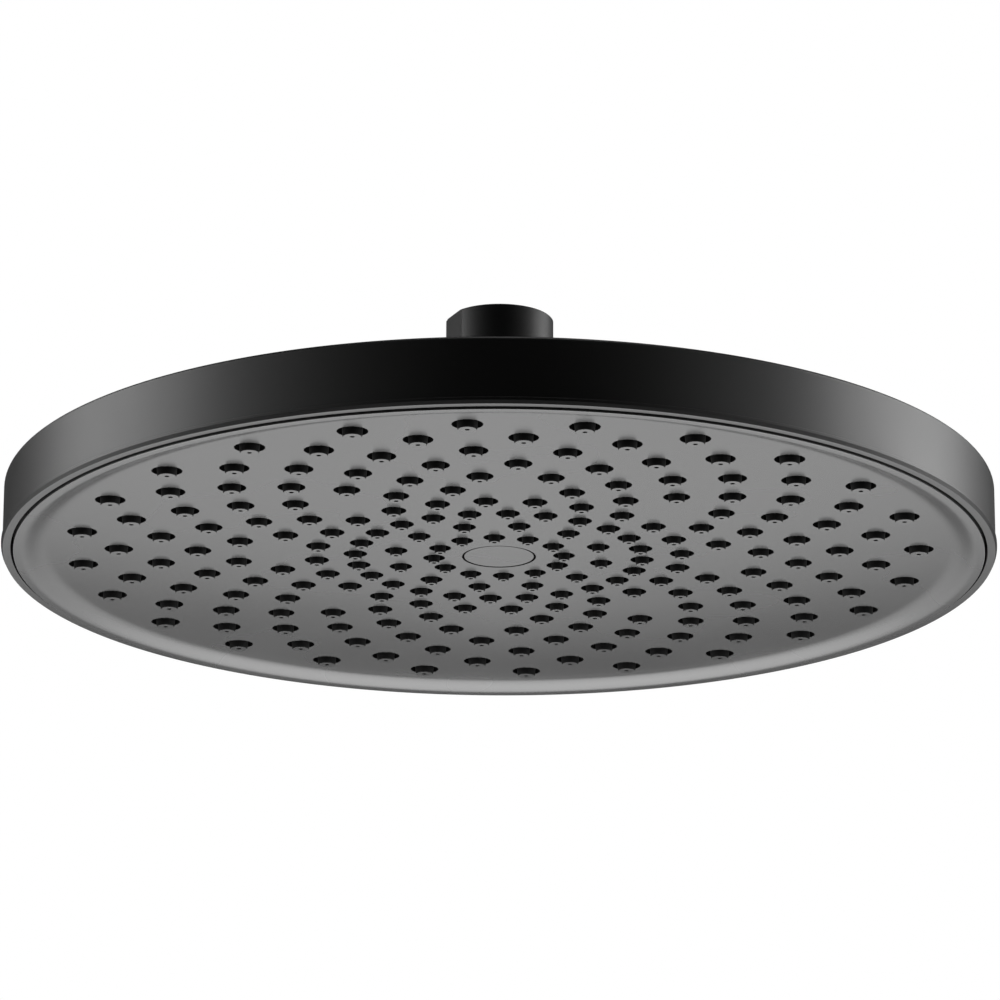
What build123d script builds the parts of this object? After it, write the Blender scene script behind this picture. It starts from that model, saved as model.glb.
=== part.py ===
from build123d import *
import os
from math import cos, pi, radians, sin, sqrt, tan

# Rain shower head on a ball joint. Millimetres, +Z up, origin at the centre of the inlet's mouth.
# The spray face looks down. Heights are measured from the mouth, or from the lip of the casing.

# Casing: a thin turned shell with a narrow lip round its open edge
head_d = 251.4
overall_height = 64.7
wall_height = 16.65
cover_wall = 2.1
cover_rise = 5.5
cover_edge = 0.4
lip_bulge = 0.35
lip_height = 1.6
lip_bevel = 0.45
lip_bevel_height = 0.9
hub_flat = 8.0

# Spray face: a flat field, then a cove that leaves it gently and turns over into a narrow flat rim
face_gap = 0.6
face_proud = 0.5
face_edge = 0.2
rim_width = 1.45
cove_width = 7.5
cove_foot = 3.8
cove_brow = 2.4
field_recess = 1.45
face_thickness = 2.5

# Nozzles: ten rings, with holes that widen towards the rim
ring_count = 10
inner_rings = 2
inner_ring_slots = 12
outer_ring_slots = 24
sparse_ring = 4
sparse_step = 3
ring_start_r = 16.5
ring_edge = 7.45
hole_d = 5.5
hole_growth = 0.22
nozzle_gap = 1.25
nozzle_proud = 1.35
nozzle_taper = 4.0
nozzle_sides = 8

# Chamber behind the face
mat_thickness = 1.5
mat_edge = 3.0
mat_room = 0.3
water_depth = 4.0
chamber_wall = 2.5
foot_height = 4.2
screw_count = 8
screw_inset = 4.2
screw_shank_r = 1.45
screw_head_r = 2.75
screw_head_height = 2.0
screw_bite = 2.0
screw_room = 0.15

# Centre fixing under the cap
cap_d = 17.7
cap_gap = 0.45
cap_inset = 0.06
cap_thickness = 1.1
cap_floor_gap = 0.1
centre_shank_r = 2.0
centre_head_r = 3.6
centre_head_height = 1.5
centre_room = 0.2
boss_wall = 4.4
centre_seal_thickness = 1.0
hub_overlap = 2.5
hub_post_r = 4.5
hub_flange = 1.5
spider_arms = 4
spider_arm_width = 2.5
spider_height = 4.0
inlet_well_r = 13.5
inlet_well_taper = 3.7

# Ball connector with a half-inch pipe thread in its mouth
thread_r = 10.5
thread_depth = 10.0
connector_wall = 3.25
connector_edge = 0.3
flat_depth = 0.9
flat_height = 11.0
flat_angle = 28.5
ball_drop = 15.1
shoulder_rise = 3.5
bore_r = 3.8
neck_tube = 1.4
ball_r = 10.5
ball_end_angle = 125.0

# Small parts held in the mouth
washer_thickness = 2.0
washer_width = 4.2
washer_step = 0.6
washer_room = 0.2
pocket_ledge = 1.7
pocket_room = 0.2
pocket_sink = 0.5
screen_thickness = 0.5
screen_pitch = 2.4
screen_hole = 1.6
screen_border = 1.2
regulator_thickness = 2.0
regulator_slots = 6
regulator_slot_inset = 3.8
regulator_slot_length = 2.4
regulator_slot_width = 1.2
regulator_seal_thickness = 1.0
regulator_seal_width = 1.8

# Ball housing: angles are from the upward axis, about the centre of the ball
run_gap = 0.1
seat_thickness = 2.2
seat_angle = 62.0
seat_half_angle = 16.0
seat_slit = 1.5
seal_angle = 118.0
seal_top_angle = 106.0
seal_low_angle = 127.0
seal_width = 2.0
floor_angle = 132.0
floor_gap = 0.5
neck_wall = 2.7
nut_wall = 3.2
nut_opening_gap = 0.4
nut_top_lip = 1.6
nut_top_wall = 4.6
nut_shoulder = 3.0
nut_flat_depth = 1.2
nut_flat_height = 9.0
neck_top_gap = 0.5
cover_washer_thickness = 0.8
cover_hole_gap = 0.3
cover_shoulder = 3.0

# Levels of the casing, the face and the chamber
lip_z = -overall_height
wall_top_z = lip_z + wall_height
hub_top_z = wall_top_z + cover_rise
field_z = lip_z + field_recess
rim_z = lip_z - face_proud
face_back_z = field_z + face_thickness
mat_back_z = face_back_z + mat_thickness
ceiling_z = mat_back_z + water_depth
chamber_top_z = ceiling_z + chamber_wall
foot_top_z = face_back_z + foot_height
hub_under_z = hub_top_z - cover_wall

# Radii of the casing, the face and the chamber
lip_r = head_d / 2
wall_r = lip_r - lip_bulge
shell_r = wall_r - cover_wall
face_r = shell_r - face_gap
rim_r = face_r - face_edge - rim_width
field_r = rim_r - cove_width
ring_pitch = (field_r - ring_edge - ring_start_r) / (ring_count - 1)
mat_r = field_r
clamp_r = mat_r - mat_edge
screw_circle_r = face_r - screw_inset

# Levels and radii in the mouth
washer_z = -thread_depth - washer_thickness
screen_z = washer_z - screen_thickness
regulator_z = screen_z - regulator_thickness
pocket_z = regulator_z - regulator_seal_thickness
washer_pocket_r = thread_r - washer_step
washer_r = washer_pocket_r - washer_room
pocket_r = washer_pocket_r - pocket_ledge
insert_r = pocket_r - pocket_room
connector_r = thread_r + connector_wall
connector_z = pocket_z + pocket_sink

# Levels and radii of the ball joint
ball_z = connector_z - ball_drop
shoulder_z = connector_z - shoulder_rise
neck_r = bore_r + neck_tube
seat_in_r = ball_r + run_gap
seat_out_r = seat_in_r + seat_thickness
nut_seat_r = seat_out_r + run_gap


def about_ball(distance, angle):
    """Profile point at a distance from the ball's centre and an angle from the upward axis."""
    return distance * sin(radians(angle)), ball_z + distance * cos(radians(angle))


def on_tangent(distance, contact_angle, angle):
    """Profile point at an angle, on the line that touches a circle about the ball's centre."""
    return about_ball(distance / cos(radians(angle - contact_angle)), angle)


seal_top = on_tangent(seat_in_r, seal_angle, seal_top_angle)
seal_low = on_tangent(seat_in_r, seal_angle, seal_low_angle)
passage_r, seal_floor_z = about_ball(ball_r + floor_gap, floor_angle)
seal_r = seal_top[0] + seal_width
seal_bore_r = seal_r + run_gap
neck_out_r = seal_bore_r + neck_wall
nut_bore_r = neck_out_r + run_gap
nut_r = nut_bore_r + nut_wall
nut_touch_r, nut_touch_z = about_ball(nut_seat_r, seat_angle)
nut_slope = tan(radians(seat_angle))
nut_opening_r = ball_r + nut_opening_gap
nut_opening_z = nut_touch_z + (nut_touch_r - nut_opening_r) * nut_slope
nut_cone_z = nut_touch_z - (nut_bore_r - nut_touch_r) * nut_slope
nut_top_z = nut_opening_z + nut_top_lip
nut_base_z = hub_top_z + cover_washer_thickness
nut_shoulder_z = ball_z + nut_shoulder
neck_top_z = nut_cone_z - neck_top_gap
cover_hole_r = neck_out_r + cover_hole_gap
cover_shoulder_r = neck_out_r + cover_shoulder
hub_r = nut_r + hub_flat


def hole_radius(ring):
    """Radius of the round hole that a nozzle of this ring stands in."""
    return (hole_d + hole_growth * ring) / 2


def ring_places(ring):
    """Places of one ring of nozzles, each turned to face outwards."""
    inner = ring < inner_rings
    slots = inner_ring_slots if inner else outer_ring_slots
    staggered = (ring % 2 == 1) if inner else (ring % 2 == 0)
    first = 0.5 if staggered else 0.0
    kept = [n for n in range(slots) if ring != sparse_ring or n % sparse_step]
    radius = ring_start_r + ring * ring_pitch
    angles = [(n + first) * 360 / slots for n in kept]
    return [Location((radius * cos(radians(a)), radius * sin(radians(a)), 0), a) for a in angles]


# A polygon of this many times the radius covers the same area as the circle
polygon_factor = sqrt(2 * pi / (nozzle_sides * sin(2 * pi / nozzle_sides)))

os.makedirs("parts", exist_ok=True)

# Ball connector: threaded mouth, wrench flats, neck and ball turned in one piece
with BuildPart() as inlet_ball:
    neck_meet_z = ball_z + sqrt(ball_r**2 - neck_r**2)
    ball_end = about_ball(ball_r, ball_end_angle)
    with BuildSketch(Plane.XZ):
        with BuildLine():
            Polyline(
                (bore_r, ball_end[1]),
                (bore_r, pocket_z),
                (pocket_r, pocket_z),
                (pocket_r, washer_z),
                (washer_pocket_r, washer_z),
                (washer_pocket_r, -thread_depth),
                (thread_r, -thread_depth),
                (thread_r, 0),
                (connector_r - connector_edge, 0),
                (connector_r, -connector_edge),
                (connector_r, connector_z),
                (neck_r, shoulder_z),
                (neck_r, neck_meet_z),
            )
            ThreePointArc((neck_r, neck_meet_z), (ball_r, ball_z), ball_end)
            Line(ball_end, (bore_r, ball_end[1]))
        make_face()
    revolve(axis=Axis.Z)
    with BuildSketch(Plane.XY.rotated((0, 0, flat_angle))):
        with Locations((connector_r, 0), (-connector_r, 0)):
            Rectangle(2 * flat_depth, 2 * connector_r)
    extrude(amount=-flat_height, mode=Mode.SUBTRACT)
inlet_ball.part.label = "inlet_ball"

# Flat rubber washer in its seat below the thread
with BuildPart() as inlet_washer:
    with BuildSketch(Plane.XY.offset(washer_z)):
        Circle(washer_r)
        Circle(washer_r - washer_width, mode=Mode.SUBTRACT)
    extrude(amount=washer_thickness)
inlet_washer.part.label = "inlet_washer"

# Debris screen under the washer: square gaps in a thin disc
screen_reach = int(insert_r / screen_pitch)
screen_steps = [n * screen_pitch for n in range(-screen_reach, screen_reach + 1)]
gap_reach = insert_r - screen_border - screen_hole / sqrt(2)
screen_gaps = [(x, y) for x in screen_steps for y in screen_steps if x * x + y * y < gap_reach**2]
with BuildPart() as inlet_screen:
    with BuildSketch(Plane.XY.offset(screen_z)):
        Circle(insert_r)
        with Locations(*screen_gaps):
            Rectangle(screen_hole, screen_hole, mode=Mode.SUBTRACT)
    extrude(amount=screen_thickness)
inlet_screen.part.label = "inlet_screen"

# Flow regulator: a disc with slots round its middle, under the screen
with BuildPart() as flow_regulator:
    with BuildSketch(Plane.XY.offset(regulator_z)):
        Circle(insert_r)
        with PolarLocations(insert_r - regulator_slot_inset, regulator_slots):
            Rectangle(regulator_slot_width, regulator_slot_length, mode=Mode.SUBTRACT)
    extrude(amount=regulator_thickness)
flow_regulator.part.label = "flow_regulator"

# Sealing ring between the regulator and the floor of its pocket
with BuildPart() as regulator_seal:
    with BuildSketch(Plane.XY.offset(pocket_z)):
        Circle(insert_r)
        Circle(insert_r - regulator_seal_width, mode=Mode.SUBTRACT)
    extrude(amount=regulator_seal_thickness)
regulator_seal.part.label = "regulator_seal"

# Split seat ring behind the ball: it grips the ball and floats in the cone of the nut
with BuildPart() as seat_ring:
    seat_top_angle = seat_angle - seat_half_angle
    seat_low_angle = seat_angle + seat_half_angle
    with BuildSketch(Plane.XZ):
        with BuildLine():
            ThreePointArc(
                about_ball(seat_out_r, seat_top_angle),
                about_ball(seat_out_r, seat_angle),
                about_ball(seat_out_r, seat_low_angle),
            )
            Polyline(
                about_ball(seat_out_r, seat_low_angle),
                on_tangent(seat_in_r, seat_angle, seat_low_angle),
                on_tangent(seat_in_r, seat_angle, seat_top_angle),
                about_ball(seat_out_r, seat_top_angle),
            )
        make_face()
    revolve(axis=Axis.Z)
    with BuildSketch(Plane.XY.offset(ball_z)):
        with Locations((seat_out_r / 2, 0)):
            Rectangle(seat_out_r, seat_slit)
    extrude(amount=seat_out_r, mode=Mode.SUBTRACT)
seat_ring.part.label = "seat_ring"

# Rubber ring under the ball, in the mouth of the chamber's neck
with BuildPart() as ball_seal:
    with BuildSketch(Plane.XZ):
        with BuildLine():
            Polyline(
                seal_top,
                (seal_r, seal_top[1]),
                (seal_r, seal_floor_z),
                (seal_low[0], seal_floor_z),
                seal_low,
                close=True,
            )
        make_face()
    revolve(axis=Axis.Z)
ball_seal.part.label = "ball_seal"

# Ball nut: holds the seat ring on the ball and clamps the cover to the chamber's neck
with BuildPart() as ball_nut:
    with BuildSketch(Plane.XZ):
        with BuildLine():
            Polyline(
                (nut_bore_r, nut_base_z),
                (nut_r, nut_base_z),
                (nut_r, nut_shoulder_z),
                (nut_opening_r + nut_top_wall, nut_top_z),
                (nut_opening_r, nut_top_z),
                (nut_opening_r, nut_opening_z),
                (nut_bore_r, nut_cone_z),
                close=True,
            )
        make_face()
    revolve(axis=Axis.Z)
    with BuildSketch(Plane.XY.offset(nut_base_z).rotated((0, 0, flat_angle))):
        with Locations((nut_r, 0), (-nut_r, 0)):
            Rectangle(2 * nut_flat_depth, 2 * nut_r)
    extrude(amount=nut_flat_height, mode=Mode.SUBTRACT)
ball_nut.part.label = "ball_nut"

# Thin washer between the nut and the cover
with BuildPart() as cover_washer:
    with BuildSketch(Plane.XY.offset(hub_top_z)):
        Circle(nut_r)
        Circle(cover_hole_r, mode=Mode.SUBTRACT)
    extrude(amount=cover_washer_thickness)
cover_washer.part.label = "cover_washer"

# Back cover: side wall with its lip, and a shallow cone up to the flat hub
with BuildPart() as back_cover:
    with BuildSketch(Plane.XZ):
        with BuildLine():
            Polyline(
                (shell_r, lip_z),
                (lip_r - lip_bevel, lip_z),
                (lip_r, lip_z + lip_bevel_height),
                (lip_r, lip_z + lip_height),
                (wall_r, lip_z + lip_height),
                (wall_r, wall_top_z - cover_edge),
                (wall_r - cover_edge, wall_top_z),
                (hub_r, hub_top_z),
                (cover_hole_r, hub_top_z),
                (cover_hole_r, hub_under_z),
                (hub_r, hub_under_z),
                (shell_r, wall_top_z - cover_wall),
                close=True,
            )
        make_face()
    revolve(axis=Axis.Z)
back_cover.part.label = "back_cover"

# Chamber back: clamps the mat to the face, and carries the neck and the centre hub on a spider
boss_r = centre_head_r + centre_room + boss_wall
hub_flange_r = boss_r + hub_overlap
hub_under_flange_z = mat_back_z + centre_seal_thickness
screw_start = 180 / screw_count
with BuildPart() as chamber_back:
    with BuildSketch(Plane.XZ):
        with BuildLine():
            Polyline(
                (inlet_well_r, ceiling_z),
                (clamp_r, ceiling_z),
                (clamp_r, mat_back_z),
                (mat_r + mat_room, mat_back_z),
                (mat_r + mat_room, face_back_z),
                (face_r, face_back_z),
                (face_r, foot_top_z),
                (mat_r, foot_top_z),
                (mat_r, chamber_top_z),
                (cover_shoulder_r, chamber_top_z),
                (cover_shoulder_r, hub_under_z),
                (neck_out_r, hub_under_z),
                (neck_out_r, neck_top_z),
                (seal_bore_r, neck_top_z),
                (seal_bore_r, seal_floor_z),
                (passage_r, seal_floor_z),
                (passage_r, chamber_top_z + inlet_well_taper),
                (inlet_well_r, chamber_top_z),
                close=True,
            )
        make_face()
    revolve(axis=Axis.Z)
    with BuildSketch(Plane.XY.offset(ceiling_z)):
        Circle(hub_post_r)
        with PolarLocations(inlet_well_r / 2, spider_arms):
            Rectangle(inlet_well_r + spider_arm_width, spider_arm_width)
    extrude(amount=chamber_wall)
    with BuildSketch(Plane.XY.offset(hub_under_flange_z)):
        Circle(hub_flange_r)
    extrude(amount=hub_flange)
    with BuildSketch(Plane.XY.offset(hub_under_flange_z)):
        Circle(hub_post_r)
    extrude(amount=chamber_top_z + spider_height - hub_under_flange_z)
    with BuildSketch(Plane.XY.offset(hub_under_flange_z)):
        Circle(centre_shank_r)
    extrude(amount=chamber_top_z - hub_under_flange_z, mode=Mode.SUBTRACT)
    with BuildSketch(Plane.XY.offset(face_back_z)):
        with PolarLocations(screw_circle_r, screw_count, start_angle=screw_start):
            Circle(screw_shank_r + screw_room)
    extrude(amount=foot_height, mode=Mode.SUBTRACT)
chamber_back.part.label = "chamber_back"

# Screws round the foot of the chamber, into blind holes in the face
with BuildPart() as chamber_screws:
    with BuildSketch(Plane.XY.offset(foot_top_z)):
        with PolarLocations(screw_circle_r, screw_count, start_angle=screw_start):
            Circle(screw_head_r)
    extrude(amount=screw_head_height)
    with BuildSketch(Plane.XY.offset(foot_top_z)):
        with PolarLocations(screw_circle_r, screw_count, start_angle=screw_start):
            Circle(screw_shank_r)
    extrude(amount=-foot_height - screw_bite)
chamber_screws.part.label = "chamber_screws"

# Rubber mat with the nozzles: it lies on the back of the face, and the nozzles stand in the holes
nozzle_length = nozzle_proud + face_thickness
with BuildPart() as nozzle_mat:
    with BuildSketch(Plane.XY.offset(face_back_z)):
        Circle(mat_r)
        Circle(boss_r + mat_room, mode=Mode.SUBTRACT)
    extrude(amount=mat_thickness)
    with BuildSketch(Plane.XY.offset(face_back_z)):
        for ring in range(ring_count):
            root_r = hole_radius(ring) - nozzle_gap + nozzle_length * tan(radians(nozzle_taper))
            with Locations(*ring_places(ring)):
                RegularPolygon(root_r * polygon_factor, nozzle_sides)
    extrude(amount=-nozzle_length, taper=nozzle_taper)
nozzle_mat.part.label = "nozzle_mat"

# Spray face: rim, cove and perforated field, with a boss for the centre screw
cap_face_z = field_z + cap_inset
cap_floor_z = cap_face_z + cap_thickness + cap_floor_gap
head_floor_z = cap_floor_z + centre_head_height
with BuildPart() as face_plate:
    with BuildSketch(Plane.XZ):
        with BuildLine():
            Line((0, field_z), (field_r, field_z))
            Bezier(
                (field_r, field_z),
                (field_r + cove_foot, field_z),
                (rim_r - cove_brow, rim_z),
                (rim_r, rim_z),
            )
            Polyline(
                (rim_r, rim_z),
                (face_r - face_edge, rim_z),
                (face_r, rim_z + face_edge),
                (face_r, face_back_z),
                (boss_r, face_back_z),
                (boss_r, mat_back_z),
                (0, mat_back_z),
                (0, field_z),
            )
        make_face()
    revolve(axis=Axis.Z)
    with BuildSketch(Plane.XY.offset(field_z)):
        Circle(cap_d / 2 + cap_gap)
    extrude(amount=cap_floor_z - field_z, mode=Mode.SUBTRACT)
    with BuildSketch(Plane.XY.offset(cap_floor_z)):
        Circle(centre_head_r + centre_room)
    extrude(amount=centre_head_height, mode=Mode.SUBTRACT)
    with BuildSketch(Plane.XY.offset(head_floor_z)):
        Circle(centre_shank_r + centre_room)
    extrude(amount=mat_back_z - head_floor_z, mode=Mode.SUBTRACT)
    with BuildSketch(Plane.XY.offset(face_back_z)):
        with PolarLocations(screw_circle_r, screw_count, start_angle=screw_start):
            Circle(screw_shank_r)
    extrude(amount=-screw_bite, mode=Mode.SUBTRACT)
    with BuildSketch(Plane.XY.offset(field_z)):
        for ring in range(ring_count):
            with Locations(*ring_places(ring)):
                RegularPolygon(hole_radius(ring) * polygon_factor, nozzle_sides)
    extrude(amount=face_thickness, mode=Mode.SUBTRACT)
face_plate.part.label = "face_plate"

# Rubber washer that seals the boss and the inner edge of the mat under the hub
with BuildPart() as centre_seal:
    with BuildSketch(Plane.XY.offset(mat_back_z)):
        Circle(hub_flange_r)
        Circle(centre_shank_r + centre_room, mode=Mode.SUBTRACT)
    extrude(amount=centre_seal_thickness)
centre_seal.part.label = "centre_seal"

# Centre screw: draws the face up to the hub
with BuildPart() as centre_screw:
    with BuildSketch(Plane.XY.offset(cap_floor_z)):
        Circle(centre_head_r)
    extrude(amount=centre_head_height)
    with BuildSketch(Plane.XY.offset(head_floor_z)):
        Circle(centre_shank_r)
    extrude(amount=chamber_top_z - head_floor_z)
centre_screw.part.label = "centre_screw"

# Cap that hides the centre screw, a hair behind the field
with BuildPart() as centre_cap:
    with BuildSketch(Plane.XY.offset(cap_face_z)):
        Circle(cap_d / 2)
    extrude(amount=cap_thickness)
centre_cap.part.label = "centre_cap"

pieces = [
    inlet_ball,
    inlet_washer,
    inlet_screen,
    flow_regulator,
    regulator_seal,
    seat_ring,
    ball_seal,
    ball_nut,
    cover_washer,
    back_cover,
    chamber_back,
    chamber_screws,
    nozzle_mat,
    face_plate,
    centre_seal,
    centre_screw,
    centre_cap,
]
for piece in pieces:
    export_step(piece.part, f"parts/{piece.part.label}.step")
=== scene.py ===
# %% [markdown]
# # A black rain shower head
# The object is a round ceiling shower head, 250 mm across, that hangs from a ball joint.
# A solid model of it is loaded first and stays fixed, and every piece made here is placed in
# the same frame: metres, +Z up, with the origin at the mouth of the water inlet.
# The steps are the camera, the finishes, the pieces from the outside in, and then the studio.

# %% Load the solid model
from math import acos, atan2, cos, pi, radians, sin, tan

import bmesh
import bpy
from mathutils import Matrix, Vector


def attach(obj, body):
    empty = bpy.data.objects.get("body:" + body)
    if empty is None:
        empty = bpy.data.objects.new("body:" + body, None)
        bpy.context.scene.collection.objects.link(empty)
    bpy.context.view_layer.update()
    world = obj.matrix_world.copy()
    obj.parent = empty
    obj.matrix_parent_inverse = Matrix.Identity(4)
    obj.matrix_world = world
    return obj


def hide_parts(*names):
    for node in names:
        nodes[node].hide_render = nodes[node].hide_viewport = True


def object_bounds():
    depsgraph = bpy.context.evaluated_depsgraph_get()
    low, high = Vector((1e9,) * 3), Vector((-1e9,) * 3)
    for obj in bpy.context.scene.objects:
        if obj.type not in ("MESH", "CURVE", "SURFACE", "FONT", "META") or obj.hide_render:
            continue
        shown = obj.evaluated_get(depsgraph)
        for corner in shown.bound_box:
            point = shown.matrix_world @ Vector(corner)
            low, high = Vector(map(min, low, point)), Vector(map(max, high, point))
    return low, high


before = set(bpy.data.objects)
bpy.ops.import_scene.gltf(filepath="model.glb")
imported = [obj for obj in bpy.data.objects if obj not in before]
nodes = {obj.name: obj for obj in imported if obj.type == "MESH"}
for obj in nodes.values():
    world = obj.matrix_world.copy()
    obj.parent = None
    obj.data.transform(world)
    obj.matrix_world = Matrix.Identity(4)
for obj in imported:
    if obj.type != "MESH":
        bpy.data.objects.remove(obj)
cad_low, cad_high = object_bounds()

# %% [markdown]
# ## The camera
# The photograph looks up at the spray face from 17 degrees below, from far away with a long
# lens, so the round lip is a clean ellipse. The place of the camera is worked out from the
# lip: its width gives the distance, and the height of the ellipse gives the angle. The camera
# looks at a point a little above the lip, so the picture needs no lens shift.

# %% Camera
MM = 0.001
rim_proud = 0.5 * MM
lip_centre = Vector((0.0, 0.0, cad_low.z + rim_proud))
view_distance = 1.3751
view_below = radians(17.03)
view_turn = radians(4.07)
view_roll = radians(0.184)
back = Vector((sin(view_turn) * cos(view_below), -cos(view_turn) * cos(view_below), -sin(view_below)))
side = Vector((cos(view_turn), sin(view_turn), 0.0))
upward = back.cross(side)
side, upward = (
    side * cos(view_roll) + upward * sin(view_roll),
    upward * cos(view_roll) - side * sin(view_roll),
)
aim_side, aim_up = 0.26 * MM, 15.76 * MM
target = lip_centre + side * aim_side + upward * aim_up
lens_mm, sensor_mm = 195.47, 36.0
camera = bpy.data.objects.new("camera", bpy.data.cameras.new("camera"))
bpy.context.scene.collection.objects.link(camera)
camera.data.lens = lens_mm
camera.data.sensor_width = sensor_mm
camera.data.dof.use_dof = False
camera.location = lip_centre + back * view_distance
look_back = (camera.location - target).normalized()
look_side = upward.cross(look_back).normalized()
look_up = look_back.cross(look_side)
camera.rotation_euler = Matrix((look_side, look_up, look_back)).transposed().to_euler()
bpy.context.scene.camera = camera
print("camera at", [round(value, 3) for value in camera.location])

# %% [markdown]
# ## A shared grain for the finishes
# Paint, moulded plastic and rubber are never one even tone: they have a fine grain that breaks
# up the light, and broad, faint clouds where the surface is a little smoother or duller. Both
# could be painted on a picture, but two noises that follow the object itself have no seams and
# stay sharp from near and far. They are a node group, because every finish here uses them.

# %% Grain group
def wire(tree, value, socket):
    """Join an output to a socket, or write a plain value into the socket."""
    if isinstance(value, bpy.types.NodeSocket):
        tree.links.new(value, socket)
    else:
        socket.default_value = value


def grain_group():
    """Shader group with a fine grain and broad clouds, both between 0 and 1."""
    group = bpy.data.node_groups.new("surface grain", "ShaderNodeTree")
    for name, default in (("Grain Size", 0.4), ("Cloud Size", 30.0)):
        socket = group.interface.new_socket(name=name, in_out="INPUT", socket_type="NodeSocketFloat")
        socket.default_value = default
    for name in ("Grain", "Clouds"):
        group.interface.new_socket(name=name, in_out="OUTPUT", socket_type="NodeSocketFloat")
    sizes = group.nodes.new("NodeGroupInput")
    result = group.nodes.new("NodeGroupOutput")
    place = group.nodes.new("ShaderNodeTexCoord")
    for name, detail, source in (("Grain", 2.0, "Grain Size"), ("Clouds", 3.0, "Cloud Size")):
        per_metre = group.nodes.new("ShaderNodeMath")
        per_metre.operation = "DIVIDE"
        per_metre.inputs[0].default_value = 1 / MM
        group.links.new(sizes.outputs[source], per_metre.inputs[1])
        noise = group.nodes.new("ShaderNodeTexNoise")
        noise.inputs["Detail"].default_value = detail
        group.links.new(place.outputs["Object"], noise.inputs["Vector"])
        group.links.new(per_metre.outputs[0], noise.inputs["Scale"])
        group.links.new(noise.outputs["Fac"], result.inputs[name])
    return group


surface_grain = grain_group()
print("sockets of the grain group:", [item.name for item in surface_grain.interface.items_tree])

# %% [markdown]
# ## The finishes
# The casing is metal with a satin black coat, and the connector and the nut have a duller one.
# The spray face is moulded and lacquered, a shade lighter and smoother. The walls of its holes,
# the seat of the cap and the sides of the cap get painted shade, a near-black matt finish. The
# nozzles are soft black rubber: their tips get a lighter, smoother copy as painted light, and
# their sides a near-black copy as painted shade. Inside there are a black moulded chamber, a
# pale seat and regulator and steel screws. Separate shaders could be wired for all of them, but
# one function is enough: each finish takes two close tones and two close roughness values, the
# clouds of the shared group lead from one to the other, and the grain drives a slight bump.

# %% Finishes
cloud_low, cloud_high = 0.3, 0.7
bump_depth = 0.05 * MM


def finish(name, tones, roughness, grain_size, cloud_size, bump, metallic=0.0, specular=0.5):
    """Material that varies between two tones and two roughness values, with a fine bump."""
    made = bpy.data.materials.new(name)
    made.use_nodes = True
    tree = made.node_tree
    shader = tree.nodes["Principled BSDF"]
    shader.inputs["Metallic"].default_value = metallic
    shader.inputs["Specular IOR Level"].default_value = specular
    grain = tree.nodes.new("ShaderNodeGroup")
    grain.node_tree = surface_grain
    grain.inputs["Grain Size"].default_value = grain_size
    grain.inputs["Cloud Size"].default_value = cloud_size
    tone = tree.nodes.new("ShaderNodeMix")
    tone.data_type = "RGBA"
    tone.inputs["A"].default_value = (*tones[0], 1.0)
    tone.inputs["B"].default_value = (*tones[1], 1.0)
    tree.links.new(grain.outputs["Clouds"], tone.inputs["Factor"])
    tree.links.new(tone.outputs["Result"], shader.inputs["Base Color"])
    dull = tree.nodes.new("ShaderNodeMapRange")
    dull.inputs["From Min"].default_value = cloud_low
    dull.inputs["From Max"].default_value = cloud_high
    dull.inputs["To Min"].default_value = roughness[0]
    dull.inputs["To Max"].default_value = roughness[1]
    tree.links.new(grain.outputs["Clouds"], dull.inputs["Value"])
    tree.links.new(dull.outputs["Result"], shader.inputs["Roughness"])
    relief = tree.nodes.new("ShaderNodeBump")
    relief.inputs["Strength"].default_value = bump
    relief.inputs["Distance"].default_value = bump_depth
    tree.links.new(grain.outputs["Grain"], relief.inputs["Height"])
    tree.links.new(relief.outputs["Normal"], shader.inputs["Normal"])
    return made


def grey(level, warmth=0.0):
    """A grey tone, slightly warm or cool."""
    return (level * (1 + warmth), level, level * (1 - warmth))


# Each call gives tones, roughness, the sizes of grain and clouds in millimetres, and the bump.
satin_black = finish("satin_black", (grey(0.004), grey(0.006)), (0.4, 0.46), 0.25, 45.0, 0.12)
fitting_black = finish(
    "fitting_black", (grey(0.006), grey(0.009)), (0.45, 0.51), 0.2, 12.0, 0.12, specular=0.26
)
face_black = finish("face_black", (grey(0.039), grey(0.043)), (0.25, 0.29), 0.35, 60.0, 0.05)
# Painted shade: a near-black matt finish for the walls of the holes and the seat and sides of the cap.
hole_black = finish("hole_black", (grey(0.0015), grey(0.0025)), (0.7, 0.8), 0.3, 5.0, 0.1, specular=0.05)
# Painted shade: a near-black copy of the nozzle rubber for the sides of the nozzles.
nozzle_rubber = finish("nozzle_rubber", (grey(0.002), grey(0.003)), (0.6, 0.7), 0.2, 4.0, 0.05, specular=0.1)
# Painted light: a lighter copy of the nozzle rubber, toned like the face, for the tips.
smooth_tip = finish("smooth_tip", (grey(0.039), grey(0.043)), (0.21, 0.25), 0.2, 4.0, 0.05)
black_rubber = finish("black_rubber", (grey(0.01), grey(0.018)), (0.55, 0.68), 0.25, 6.0, 0.35)
black_plastic = finish("black_plastic", (grey(0.012), grey(0.02)), (0.45, 0.55), 0.4, 25.0, 0.3)
pale_plastic = finish("pale_plastic", (grey(0.62, 0.02), grey(0.7, 0.03)), (0.38, 0.48), 0.3, 8.0, 0.15)
steel = finish("steel", (grey(0.5), grey(0.6)), (0.24, 0.36), 0.15, 3.0, 0.15, metallic=1.0)
print("materials so far, with those of the solids:", len(bpy.data.materials))

# %% [markdown]
# ## Turning a profile
# Most pieces of a shower head are turned on a lathe or moulded round, so one outline that is
# swept about the Z axis makes them. A screw modifier could do that, but building the rings by
# hand gives control of the poles and of where each column of faces stands. Real edges are
# never sharp: each corner of an outline can carry a small radius, with a narrow band beside
# it, so the broad faces keep their flat shading and only the edge itself catches the light.

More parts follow.
